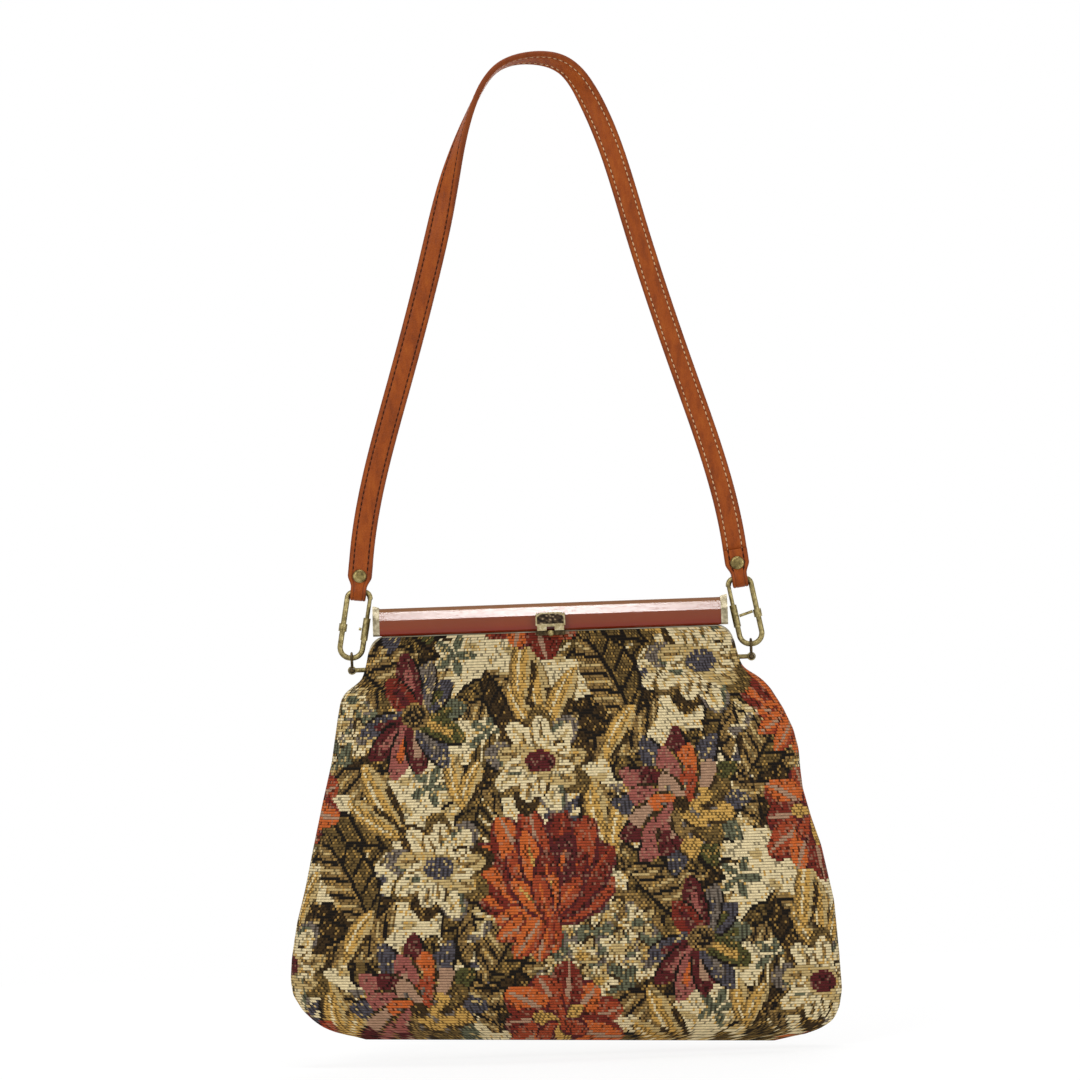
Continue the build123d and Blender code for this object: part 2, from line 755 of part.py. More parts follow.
lining_inset = fabric_wall + lining_gap
fabric_outer = pouch_solid(0, pouch_section_shares)
fabric_inner = pouch_solid(fabric_wall, pouch_section_shares[:-1])
with BuildPart() as tapestry_body:
    add(fabric_outer)
    add(fabric_inner, mode=Mode.SUBTRACT)
    add(swing_space.part, mode=Mode.SUBTRACT)
save(tapestry_body.part, "tapestry_body")

lining_outer = pouch_solid(lining_inset, pouch_section_shares[:-1])
lining_inner = pouch_solid(lining_inset + lining_wall, pouch_section_shares[:-2])
with BuildPart() as lining:
    add(lining_outer)
    add(lining_inner, mode=Mode.SUBTRACT)
    add(swing_space.part, mode=Mode.SUBTRACT)
save(lining.part, "lining")
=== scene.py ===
import math
import bmesh
import bpy
import numpy as np
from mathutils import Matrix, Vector


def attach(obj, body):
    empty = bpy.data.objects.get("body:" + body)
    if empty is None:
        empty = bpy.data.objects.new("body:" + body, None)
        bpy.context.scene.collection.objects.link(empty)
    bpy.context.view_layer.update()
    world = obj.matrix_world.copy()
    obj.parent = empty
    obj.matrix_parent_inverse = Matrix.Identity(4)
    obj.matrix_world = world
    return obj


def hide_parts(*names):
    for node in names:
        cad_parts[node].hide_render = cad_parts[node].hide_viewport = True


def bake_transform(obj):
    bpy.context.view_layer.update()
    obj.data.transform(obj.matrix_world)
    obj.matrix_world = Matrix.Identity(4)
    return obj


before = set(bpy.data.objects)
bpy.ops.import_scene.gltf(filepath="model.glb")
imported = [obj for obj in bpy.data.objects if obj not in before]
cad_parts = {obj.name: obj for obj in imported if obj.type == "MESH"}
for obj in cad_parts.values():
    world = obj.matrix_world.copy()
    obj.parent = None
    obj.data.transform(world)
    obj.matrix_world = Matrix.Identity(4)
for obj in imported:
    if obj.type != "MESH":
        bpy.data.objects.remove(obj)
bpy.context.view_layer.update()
scene = bpy.context.scene
mm = 0.001

# Taken over from the solids, in millimetres: the hinge line's height, the middle of the strap's right
# fold, the lean of the strap's legs, and heights above the hinge line on the bar and the clasp tab
HINGE = -310.84
FOLD_X, FOLD_Z = 97.987, -270.740
STRAP_LEAN = math.radians(7.0)
BAR_FOOT, BAR_CREST = 17.0, 31.0
TAB_TOP, TAB_HALF_WIDTH = 26.4, 7.6

# Strap, in millimetres: the band, its narrower fold, and the way from the fold's middle to the full band
BAND_WIDTH, BAND_THICKNESS = 12.4, 3.0
FOLD_WIDTH, FOLD_THICKNESS = 8.0, 2.0
FOLD_LENGTH = 19.0
STRAP_TOP = 1.5
# Sections along each end and along the band; the end's sections after FOLD_TURN are on the band's side
END_SECTIONS, BAND_SECTIONS, FOLD_TURN = 74, 420, 40
# The band lies flat a little left of its top, so that its inner face shows at the top. As shares of half
# the band: how far left, the length of the quarter turn, and the length over which the top is lowered
TWIST_SHIFT, TWIST_LENGTH, TILT_LENGTH = 0.10, 0.36, 0.25
TILT_DROP = 1.1
# Stitches: their lines as a share of half the width, the sections at each end that the band's lines
# leave free, and the sections of a tab, which has lines of its own; spacing and length in metres
STITCH_LINE = 0.60
FREE_SECTIONS, TAB_SECTIONS = 62, 18
STITCH_SPACING, STITCH_LENGTH = 0.0030, 0.0022

CAMERA_ROLL = math.radians(2.05)


# Camera level with the middle of strap and bag together, rolled a little as the photograph is
def make_camera():
    camera = bpy.data.objects.new("camera", bpy.data.cameras.new("camera"))
    scene.collection.objects.link(camera)
    distance, view_width = 2.6, 0.555
    camera.data.sensor_fit = "HORIZONTAL"
    camera.data.angle = 2 * math.atan(view_width / 2 / distance)
    middle = Vector((-0.0038, 0, -0.2473))
    camera.location = middle + Vector((0, -distance, 0))
    camera.rotation_euler = (math.pi / 2, CAMERA_ROLL, 0)
    camera.data.clip_end = 50
    scene.camera = camera


def lamp(name, place, target, size, size_y, power):
    light = bpy.data.lights.new(name, "AREA")
    light.shape, light.size, light.size_y, light.energy = "RECTANGLE", size, size_y, power
    holder = bpy.data.objects.new(name, light)
    holder.location = place
    holder.rotation_euler = (Vector(target) - Vector(place)).to_track_quat("-Z", "Y").to_euler()
    scene.collection.objects.link(holder)


def add_node(tree, kind, inputs=None, **settings):
    """A node with its settings, and a constant or another node's output on each input that is given."""
    node = tree.nodes.new(kind)
    for key, value in settings.items():
        setattr(node, key, value)
    for key, value in (inputs or {}).items():
        if isinstance(value, bpy.types.NodeSocket):
            tree.links.new(value, node.inputs[key])
        else:
            node.inputs[key].default_value = value
    return node


def background_rays(tree):
    """1 for rays that show the background: camera, glossy and transmission rays."""
    path = add_node(tree, "ShaderNodeLightPath").outputs
    share = path["Is Camera Ray"]
    for kind in ("Is Glossy Ray", "Is Transmission Ray"):
        share = add_node(tree, "ShaderNodeMath", {0: share, 1: path[kind]}, operation="MAXIMUM").outputs[0]
    return share


def linear(red, green, blue):
    """sRGB from 0 to 255 as the linear colour that a socket takes."""
    shares = [value / 255 for value in (red, green, blue)]
    return tuple(s / 12.92 if s <= 0.04045 else ((s + 0.055) / 1.055) ** 2.4 for s in shares) + (1,)


class Finish:
    """A node material with short calls for the nodes that the finishes share."""

    def __init__(self, name, **sockets):
        self.material = bpy.data.materials.new(name)
        self.material.use_nodes = True
        self.tree = self.material.node_tree
        self.shader = self.tree.nodes["Principled BSDF"]
        for key, value in sockets.items():
            self.shader.inputs[key.replace("_", " ")].default_value = value

    def coordinates(self, kind="Object"):
        return add_node(self.tree, "ShaderNodeTexCoord").outputs[kind]

    def scaled(self, source, x, y, z):
        return add_node(self.tree, "ShaderNodeMapping", {"Vector": source, "Scale": (x, y, z)}).outputs[0]

    def axis(self, source, name):
        return add_node(self.tree, "ShaderNodeSeparateXYZ", {0: source}).outputs[name]

    def noise(self, source, scale, detail, rough):
        inputs = {"Vector": source, "Scale": scale, "Detail": detail, "Roughness": rough}
        return add_node(self.tree, "ShaderNodeTexNoise", inputs).outputs[0]

    def cells(self, source, scale, feature="F1"):
        inputs = {"Vector": source, "Scale": scale}
        return add_node(self.tree, "ShaderNodeTexVoronoi", inputs, feature=feature).outputs["Distance"]

    def span(self, source, low, high, to_low=0.0, to_high=1.0):
        inputs = {"Value": source, "From Min": low, "From Max": high, "To Min": to_low, "To Max": to_high}
        return add_node(self.tree, "ShaderNodeMapRange", inputs).outputs[0]

    def maths(self, operation, *values):
        return add_node(self.tree, "ShaderNodeMath", dict(enumerate(values)), operation=operation).outputs[0]

    def ramp(self, source, *stops):
        node = add_node(self.tree, "ShaderNodeValToRGB", {0: source})
        elements = node.color_ramp.elements
        while len(elements) < len(stops):
            elements.new(0.5)
        for element, (place, colour) in zip(elements, stops):
            element.position, element.color = place, linear(*colour)
        return node.outputs[0]

    def mix(self, share, first, second):
        # The node lists its sockets for numbers and vectors before those for colours
        inputs = {0: share, 6: first, 7: second}
        return add_node(self.tree, "ShaderNodeMix", inputs, data_type="RGBA").outputs[2]

    def colour(self, source):
        self.tree.links.new(source, self.shader.inputs["Base Color"])

    def rough(self, source):
        self.tree.links.new(source, self.shader.inputs["Roughness"])

    def bump(self, height, distance, strength, after=None):
        inputs = {"Height": height, "Distance": distance, "Strength": strength}
        if after is not None:
            inputs["Normal"] = after
        bumped = add_node(self.tree, "ShaderNodeBump", inputs).outputs[0]
        self.tree.links.new(bumped, self.shader.inputs["Normal"])
        return bumped


def make_studio():
    world = bpy.data.worlds.new("studio")
    scene.world = world
    world.use_nodes = True
    tree, white = world.node_tree, (1, 1, 1, 1)
    soft = tree.nodes["Background"]
    soft.inputs["Color"].default_value = white
    soft.inputs["Strength"].default_value = 0.5
    bright = add_node(tree, "ShaderNodeBackground", {"Color": white, "Strength": 1.0})
    inputs = {0: background_rays(tree), 1: soft.outputs[0], 2: bright.outputs[0]}
    mix = add_node(tree, "ShaderNodeMixShader", inputs)
    tree.links.new(mix.outputs[0], tree.nodes["World Output"].inputs["Surface"])
    lamp("key", (-0.9, -1.5, 0.55), (0, 0, -0.3), 0.8, 0.8, 16)
    lamp("fill", (1.2, -1.3, -0.4), (0, 0, -0.35), 1.0, 1.0, 9)
    lamp("back", (0.4, 1.4, 0.2), (0, 0, -0.3), 1.0, 1.0, 9)
    lamp("top", (-0.05, -0.1, 1.6), (0, 0, -0.3), 1.5, 0.13, 16)

    bpy.ops.mesh.primitive_plane_add(size=1, location=(0, 0.1, -0.5135))
    floor = bpy.context.object
    floor.name = "floor"
    floor.scale = (1.5, 0.9, 1)
    finish = Finish("pale_floor", Base_Color=(0.93, 0.93, 0.93, 1), Roughness=0.9)
    share = finish.maths("MULTIPLY", background_rays(finish.tree), 0.8)
    glow = add_node(finish.tree, "ShaderNodeEmission")
    inputs = {0: share, 1: finish.shader.outputs[0], 2: glow.outputs[0]}
    mix = add_node(finish.tree, "ShaderNodeMixShader", inputs)
    finish.tree.links.new(mix.outputs[0], finish.tree.nodes["Material Output"].inputs["Surface"])
    floor.data.materials.append(finish.material)


# Finishes
def leather_finish(name, dark, mid, light):
    finish = Finish(name, Specular_IOR_Level=0.18)
    place = finish.coordinates()
    uv = finish.coordinates("UV")
    cloudy = finish.noise(finish.scaled(place, 1, 1, 0.35), 260, 6, 0.65)
    base = finish.ramp(cloudy, (0.15, dark), (0.5, mid), (0.88, light))
    from_side = finish.maths("FRACT", finish.axis(uv, "X"))
    across = finish.maths("ABSOLUTE", finish.maths("SUBTRACT", from_side, 0.5))
    # Painted shade: the colour darkens towards the band's rounded edges and in the stitch groove
    edge = finish.span(across, 0.40, 0.5)
    from_groove = finish.maths("ABSOLUTE", finish.maths("SUBTRACT", across, STITCH_LINE / 2))
    groove_shade = finish.maths("SUBTRACT", 1.0, finish.span(from_groove, 0.012, 0.05))
    shade = finish.mix(finish.maths("MULTIPLY", edge, 0.55), base, linear(*dark))
    shade = finish.mix(finish.maths("MULTIPLY", groove_shade, 0.6), shade, linear(*dark))
    finish.colour(shade)
    grain = finish.cells(finish.scaled(place, 1, 1, 0.8), 1250)
    fine = finish.noise(place, 2600, 3, 0.6)
    finish.rough(finish.span(cloudy, 0.25, 0.75, 0.44, 0.62))
    first = finish.bump(grain, 0.00022, 0.55)
    finish.bump(fine, 0.0001, 0.35, first)
    return finish.material


def thread_finish(name, dark, light):
    finish = Finish(name, Roughness=0.8, Specular_IOR_Level=0.12)
    place = finish.coordinates()
    twist = finish.noise(place, 3200, 2, 0.6)
    finish.colour(finish.ramp(twist, (0.3, dark), (0.7, light)))
    finish.bump(twist, 0.00012, 0.6)
    return finish.material


def metal_finish(name, dark, mid, light, rough, grain=520, streak=(1, 1, 1)):
    """Aged metal: tarnish in patches, brighter rubbed patches, small pits."""
    finish = Finish(name, Metallic=0.86)
    place = finish.scaled(finish.coordinates(), *streak)
    broad = finish.noise(place, grain, 6, 0.68)
    finish.colour(finish.ramp(broad, (0.30, dark), (0.50, mid), (0.80, light)))
    finish.rough(finish.span(broad, 0.25, 0.8, rough + 0.18, rough - 0.06))
    pits = finish.noise(place, grain * 4.5, 4, 0.7)
    finish.bump(pits, 0.00012, 0.7)
    return finish.material


def acrylic_finish():
    """Amber bar: red-brown face with painted shade that darkens it towards its foot, a painted golden glow of
    light through its crest, polished, with light scuffs.
    """
    finish = Finish("amber_acrylic_look", IOR=1.49, Specular_IOR_Level=0.44)
    place = finish.coordinates()
    height = finish.span(finish.axis(place, "Z"), (HINGE + BAR_FOOT) * mm, (HINGE + BAR_CREST) * mm)
    clouds = finish.noise(finish.scaled(place, 0.25, 1, 1), 95, 5, 0.6)
    # Painted light by height: shade darkening the face towards its foot, and a golden glow at the crest
    painted_light_bands = finish.ramp(
        height, (0.0, (80, 16, 1)), (0.10, (114, 28, 1)), (0.26, (119, 44, 4)),
        (0.56, (120, 52, 10)), (0.85, (128, 68, 18)), (0.88, (120, 70, 2)), (1.0, (102, 58, 1)),
    )
    finish.colour(finish.mix(finish.span(clouds, 0.3, 0.75, 0.0, 0.35), painted_light_bands, linear(88, 30, 10)))
    scuffs = finish.noise(finish.scaled(place, 0.12, 1.0, 1.0), 900, 5, 0.7)
    specks = finish.noise(place, 1500, 2, 0.5)
    crest = finish.span(height, 0.865, 0.885, 0.0, 0.5)
    finish.rough(finish.maths("ADD", crest, finish.span(scuffs, 0.35, 0.75, 0.04, 0.17)))
    first = finish.bump(scuffs, 0.00006, 0.35)
    finish.bump(finish.span(specks, 0.66, 0.72), 0.00008, 0.5, first)
    return finish.material


def tab_finish():
    """Clasp tab: rim and lip painted pale, partly rubbed metal and partly painted highlight, round a dark
    field of small engraved scrolls.
    """
    finish = Finish("clasp_tab_look", Metallic=0.85)
    place = finish.coordinates()
    top, half = (HINGE + TAB_TOP) * mm, TAB_HALF_WIDTH * mm
    rim_width, field_height, corner_cut = 0.8 * mm, 5.9 * mm, 3.3 * mm
    side = finish.maths("ABSOLUTE", finish.axis(place, "X"))
    height = finish.axis(place, "Z")
    rim = finish.maths("SUBTRACT", side, half - rim_width)
    rim = finish.maths("MAXIMUM", rim, finish.maths("SUBTRACT", height, top - rim_width))
    rim = finish.maths("MAXIMUM", rim, finish.maths("SUBTRACT", top - field_height, height))
    corner = finish.maths("SUBTRACT", finish.maths("ADD", side, height), top + half - corner_cut)
    rim = finish.span(finish.maths("MAXIMUM", rim, corner), -0.0001, 0.0001)
    scrolls = finish.cells(finish.scaled(place, 1.0, 0.2, 1.3), 620, "SMOOTH_F1")
    wear_and_highlight = finish.noise(place, 700, 5, 0.65)
    field = finish.ramp(scrolls, (0.12, (142, 124, 96)), (0.34, (70, 56, 40)), (0.6, (30, 22, 16)))
    # Rim and lip colour: pale rubbed metal together with a painted highlight
    edge = finish.ramp(wear_and_highlight, (0.3, (112, 96, 62)), (0.55, (176, 160, 120)), (0.75, (214, 204, 178)))
    finish.colour(finish.mix(rim, field, edge))
    finish.rough(finish.span(wear_and_highlight, 0.3, 0.7, 0.46, 0.28))
    finish.bump(finish.maths("MULTIPLY", scrolls, finish.maths("SUBTRACT", 1.0, rim)), -0.0006, 0.8)
    return finish.material


def tapestry_finish():
    """Woven cloth: the thread colours come with the cells, painted shade darkens the gaps between rows, the
    ribs follow the panel's own map.
    """
    finish = Finish("tapestry_look", Roughness=0.9, Specular_IOR_Level=0.12)
    thread = add_node(finish.tree, "ShaderNodeVertexColor", layer_name="thread").outputs["Color"]
    uv = finish.coordinates("UV")
    row = finish.maths("FRACT", finish.axis(uv, "Y"))
    from_mid = finish.maths("ABSOLUTE", finish.maths("SUBTRACT", row, 0.5))
    gap = finish.span(from_mid, 0.26, 0.48)
    fibre = finish.noise(finish.scaled(uv, 0.55, 5.0, 1.0), 1.6, 3, 0.6)
    slack = finish.noise(uv, 0.23, 3, 0.6)
    colour = finish.mix(finish.span(fibre, 0.25, 0.75, 0.0, 0.32), thread, linear(30, 22, 14))
    # Painted shade in the gaps between rows of the weave, varied by the slack noise
    gap_shade = finish.maths("MULTIPLY", gap, finish.span(slack, 0.3, 0.7, 0.55, 0.9))
    finish.colour(finish.mix(gap_shade, colour, linear(38, 27, 16)))
    column = finish.maths("SINE", finish.maths("MULTIPLY", finish.axis(uv, "X"), math.pi))
    rib = finish.maths("SUBTRACT", 1.0, finish.maths("MULTIPLY", from_mid, 2.0))
    relief = finish.maths("ADD", rib, finish.maths("MULTIPLY", finish.maths("ABSOLUTE", column), 0.35))
    first = finish.bump(relief, 0.00055, 0.75)
    finish.bump(fibre, 0.0003, 0.5, first)
    return finish.material


def lining_finish():
    finish = Finish("lining_look", Roughness=0.8, Sheen_Weight=0.2)
    place = finish.coordinates()
    weave = finish.noise(finish.scaled(place, 1, 1, 3.0), 900, 3, 0.6)
    broad = finish.noise(place, 40, 4, 0.6)
    base = finish.ramp(weave, (0.3, (118, 96, 66)), (0.7, (168, 142, 104)))
    finish.colour(finish.mix(finish.span(broad, 0.35, 0.75, 0.0, 0.4), base, linear(92, 72, 50)))
    finish.bump(weave, 0.0002, 0.5)
    return finish.material


# Shapes
def mesh_piece(name, points, faces, material):
    mesh = bpy.data.meshes.new(name)
    mesh.from_pydata([tuple(p) for p in points], [], faces)
    mesh.materials.append(material)
    mesh.shade_smooth()
    mesh.update()
    piece = bpy.data.objects.new(name, mesh)
    scene.collection.objects.link(piece)
    return piece


def travelled(points):
    """Length along a line of points up to each of them."""
    return np.concatenate([[0], np.cumsum(np.linalg.norm(np.diff(points, axis=0), axis=1))])


def smooth_curve(points, start_slope, end_slope, count):
    """Even samples of a cubic through the points, with the given end directions."""
    points = np.array(points, float)
    knots = travelled(points)
    steps = np.diff(knots)
    size = len(points)
    matrix, right = np.zeros((size, size)), np.zeros_like(points)
    matrix[0, 0] = matrix[-1, -1] = 1
    right[0], right[-1] = start_slope, end_slope
    for i in range(1, size - 1):
        before, after = steps[i - 1], steps[i]
        matrix[i, i - 1 : i + 2] = after, 2 * (before + after), before
        right[i] = 3 * (
            after / before * (points[i] - points[i - 1]) + before / after * (points[i + 1] - points[i])
        )
    slopes = np.linalg.solve(matrix, right)
    at = np.linspace(0, knots[-1], count)
    index = np.clip(np.searchsorted(knots, at, side="right") - 1, 0, size - 2)
    share = ((at - knots[index]) / steps[index])[:, None]
    length = steps[index][:, None]
    square, cube = share**2, share**3
    return (
        (2 * cube - 3 * square + 1) * points[index] + (cube - 2 * square + share) * length * slopes[index]
        + (3 * square - 2 * cube) * points[index + 1] + (cube - square) * length * slopes[index + 1]
    )


def unit(vectors):
    return vectors / np.linalg.norm(vectors, axis=1, keepdims=True)


def soft_step(values, low, high):
    """0 below low, 1 above high, and a smooth rise between them."""
    share = np.clip((values - low) / (high - low), 0, 1)
    return share * share * (3 - 2 * share)


# Strap: one band from the turned back tab at the left, round both links, to the tab at the right
def strap_end_path(side):
    """Centre line, outer direction, width and thickness of one folded end, from the tab to the band."""
    layers = [
        (1.25, 15.2), (1.25, 11.0), (1.35, 7.2), (2.55, 3.6), (3.5, 0.3), (2.55, -2.5), (0.0, -3.58),
        (-2.55, -2.5), (-3.5, 0.3), (-2.55, 3.6), (-1.3, 7.2), (-1.2, 11.0), (-0.55, 15.2),
        (0.0, FOLD_LENGTH),
    ]
    flat = smooth_curve(layers, (0, -1), (0.1, 1), END_SECTIONS)
    across = np.array((0, -side, 0.0))
    up = np.array((-side * math.sin(STRAP_LEAN), 0, math.cos(STRAP_LEAN)))
    origin = np.array((side * FOLD_X, 0, FOLD_Z))
    along = unit(np.gradient(flat, axis=0))
    outer = np.stack([-along[:, 1], along[:, 0]], axis=1)
    points = origin + flat[:, :1] * across + flat[:, 1:] * up
    normals = outer[:, :1] * across + outer[:, 1:] * up
    widths = FOLD_WIDTH + (BAND_WIDTH - FOLD_WIDTH) * soft_step(flat[:, 1], 2.2, 8.4)
    thicker = soft_step(flat[:, 1], 11.0, FOLD_LENGTH) * (np.arange(END_SECTIONS) > FOLD_TURN)
    heights = FOLD_THICKNESS + (BAND_THICKNESS - FOLD_THICKNESS) * thicker
    return points, normals, widths, heights


def strap_path():
    """Centre line, outer direction, width and thickness of the whole strap, from tab to tab."""
    joint_x = FOLD_X - FOLD_LENGTH * math.sin(STRAP_LEAN)
    joint_z = FOLD_Z + FOLD_LENGTH * math.cos(STRAP_LEAN)
    shares = [(0.0, 0.0), (0.17, 0.016), (0.305, 0.085), (0.525, 0.343), (0.77, 0.66), (1.0, 1.0)]
    right = [(x * joint_x, STRAP_TOP + d * (joint_z - STRAP_TOP)) for x, d in shares]
    left = [(-x, z) for x, z in reversed(right[1:])]
    lean = (math.sin(STRAP_LEAN), math.cos(STRAP_LEAN))
    flat = smooth_curve(left + right, lean, (lean[0], -lean[1]), BAND_SECTIONS)
    points = np.stack([flat[:, 0], np.zeros(len(flat)), flat[:, 1]], axis=1)
    travel = travelled(points)
    from_apex = 2 * travel / travel[-1] - 1
    points[:, 2] -= TILT_DROP * (1 - soft_step(np.abs(from_apex), 0.0, TILT_LENGTH))
    along = unit(np.gradient(points, axis=0))
    from_flat = from_apex + TWIST_SHIFT
    quarter = soft_step(np.abs(from_flat), 0.0, TWIST_LENGTH) * math.pi / 2
    turn = quarter * np.where(from_flat < 0, 1, -1)
    outwards = np.cross(along, (0, 1, 0))
    normals = outwards * np.cos(turn)[:, None] + np.array((0, -1, 0)) * np.sin(turn)[:, None]
    left_end, right_end = strap_end_path(-1), strap_end_path(1)
    widths, heights = np.full(BAND_SECTIONS, BAND_WIDTH), np.full(BAND_SECTIONS, BAND_THICKNESS)
    whole = []
    for index, middle in enumerate((points, normals, widths, heights)):
        whole.append(np.concatenate([left_end[index][:-1], middle, right_end[index][::-1][1:]]))
    return whole


def make_strap(leather):
    points, normals, widths, heights = strap_path()
    along = unit(np.gradient(points, axis=0))
    normals = unit(normals - (normals * along).sum(1, keepdims=True) * along)
    wide = np.cross(normals, along)
    # Section: rounded edge, groove for the stitches, nearly flat middle
    half = [
        (1.0, 0.0), (0.985, 0.42), (0.94, 0.76), (0.86, 0.96), (0.74, 1.0), (0.66, 0.94), (STITCH_LINE, 0.72),
        (0.54, 0.90), (0.46, 0.97), (0.32, 0.98), (0.16, 0.97),
    ]
    outer = half + [(0.0, 0.96)] + [(-w, n) for w, n in reversed(half)]
    ring = outer + [(w, -n) for w, n in reversed(outer[1:-1])]
    count, rings = len(ring), len(points)
    shares = np.array(ring)
    verts = (
        points[:, None, :]
        + wide[:, None, :] * (shares[None, :, :1] * widths[:, None, None] / 2)
        + normals[:, None, :] * (shares[None, :, 1:] * heights[:, None, None] / 2)
    ).reshape(-1, 3) * mm
    faces = []
    for r in range(rings - 1):
        for i in range(count):
            j = (i + 1) % count
            faces.append((r * count + i, (r + 1) * count + i, (r + 1) * count + j, r * count + j))
    faces.append(tuple(range(count)))
    faces.append(tuple((rings - 1) * count + i for i in reversed(range(count))))
    strap = mesh_piece("leather_strap", verts, faces, leather)
    travel = travelled(points)
    uv = strap.data.uv_layers.new(name="band")
    for loop in strap.data.loops:
        r, i = divmod(loop.vertex_index, count)
        uv.data[loop.index].uv = ((shares[i, 0] + 1) / 2 * 0.9999, travel[r] / 100)
    outwards = bmesh.new()
    outwards.from_mesh(strap.data)
    bmesh.ops.recalc_face_normals(outwards, faces=outwards.faces)
    outwards.to_mesh(strap.data)
    outwards.free()

    def stitch_lines(part, height):
        """Both lines of stitches along a part of the strap, at a share of half its thickness."""
        lift = normals * (height * heights / 2)[:, None]
        sides = [wide * (share * widths / 2)[:, None] for share in (-STITCH_LINE, STITCH_LINE)]
        return [(points + side + lift)[part] * mm for side in sides]

    band = slice(FREE_SECTIONS, rings - FREE_SECTIONS)
    outer_lines = stitch_lines(band, 0.78)
    for tab in (slice(1, TAB_SECTIONS), slice(rings - TAB_SECTIONS, rings - 1)):
        outer_lines += stitch_lines(tab, 0.80)
    return strap, {"outer": outer_lines, "inner": stitch_lines(band, -0.78)}


def stitch_tree(name):
    """Rows of short rounded stitches along edges: lengths from the modifier's named inputs."""
    tree = bpy.data.node_groups.new(name, "GeometryNodeTree")
    tree.interface.new_socket("Geometry", in_out="INPUT", socket_type="NodeSocketGeometry")
    sizes = {}
    for key in ("Spacing", "Stitch Length", "Thread Radius", "Thread"):
        kind = "NodeSocketMaterial" if key == "Thread" else "NodeSocketFloat"
        sizes[key] = tree.interface.new_socket(key, in_out="INPUT", socket_type=kind).identifier
    tree.interface.new_socket("Geometry", in_out="OUTPUT", socket_type="NodeSocketGeometry")

    def made(kind, inputs=None, **settings):
        return add_node(tree, kind, inputs, **settings).outputs[0]

    enter = add_node(tree, "NodeGroupInput").outputs
    curve = made("GeometryNodeMeshToCurve", {0: enter["Geometry"]})
    inputs = {"Curve": curve, "Length": enter["Spacing"]}
    places = made("GeometryNodeResampleCurve", inputs, mode="LENGTH")
    along = made("GeometryNodeInputTangent")
    turn = made("FunctionNodeAlignRotationToVector", {"Vector": along}, axis="X")
    ball = made("GeometryNodeMeshUVSphere", {"Segments": 8, "Rings": 6, "Radius": 1.0})
    half_length = made("ShaderNodeMath", {0: enter["Stitch Length"], 1: 0.5}, operation="MULTIPLY")
    radius = enter["Thread Radius"]
    size = made("ShaderNodeCombineXYZ", {0: half_length, 1: radius, 2: radius})
    inputs = {"Min": (0.88, 0.9, 0.9), "Max": (1.08, 1.1, 1.1), "Seed": 7}
    wobble = made("FunctionNodeRandomValue", inputs, data_type="FLOAT_VECTOR")
    varied = made("ShaderNodeVectorMath", {0: size, 1: wobble}, operation="MULTIPLY")
    inputs = {"Points": places, "Instance": ball, "Rotation": turn, "Scale": varied}
    stitches = made("GeometryNodeRealizeInstances", {0: made("GeometryNodeInstanceOnPoints", inputs)})
    dressed = made("GeometryNodeSetMaterial", {"Geometry": stitches, "Material": enter["Thread"]})
    add_node(tree, "NodeGroupOutput", {0: dressed})
    return tree, sizes


def make_stitches(name, lines, tree, sizes, radius, thread):
    points, edges = [], []
    for line in lines:
        first = len(points)
        points.extend(tuple(p) for p in line)
        edges.extend((first + i, first + i + 1) for i in range(len(line) - 1))
    mesh = bpy.data.meshes.new(name + "_rows")
    mesh.from_pydata(points, edges, [])
    rows = bpy.data.objects.new(name + "_rows", mesh)
    scene.collection.objects.link(rows)
    modifier = rows.modifiers.new("stitches", "NODES")
    modifier.node_group = tree
    modifier[sizes["Spacing"]] = STITCH_SPACING
    modifier[sizes["Stitch Length"]] = STITCH_LENGTH
    modifier[sizes["Thread Radius"]] = radius
    modifier[sizes["Thread"]] = thread
    rows.update_tag()
    bpy.context.view_layer.update()
    evaluated = rows.evaluated_get(bpy.context.evaluated_depsgraph_get())
    whole = bpy.data.meshes.new_from_object(evaluated)
    rows.modifiers.remove(modifier)
    bpy.data.objects.remove(rows)
    whole.shade_smooth()
    stitches = bpy.data.objects.new(name, whole)
    scene.collection.objects.link(stitches)
    return stitches


# Tapestry: a common floral in a half-drop repeat, drawn cell by cell of the weave
THREADS = {
    "cream": (238, 218, 170), "straw": (202, 174, 116), "tan": (140, 111, 64), "olive": (108, 86, 46),
    "bark": (62, 46, 24), "black": (17, 14, 11), "gold": (212, 166, 86), "orange": (206, 102, 46),
    "rust": (166, 70, 40), "brick": (122, 42, 30), "wine": (88, 30, 32), "rose": (160, 90, 80),
    "slate": (82, 78, 84), "sage": (106, 108, 84), "moss": (82, 80, 42), "blush": (178, 140, 112),
    "smoke": (122, 110, 98),
}
NAMES = list(THREADS)
# In millimetres: the two steps of the repeat, and the furthest that a motif reaches from its place
REPEAT = ((137.5, 100.5), (142.0, -118.0))
REACH = 60


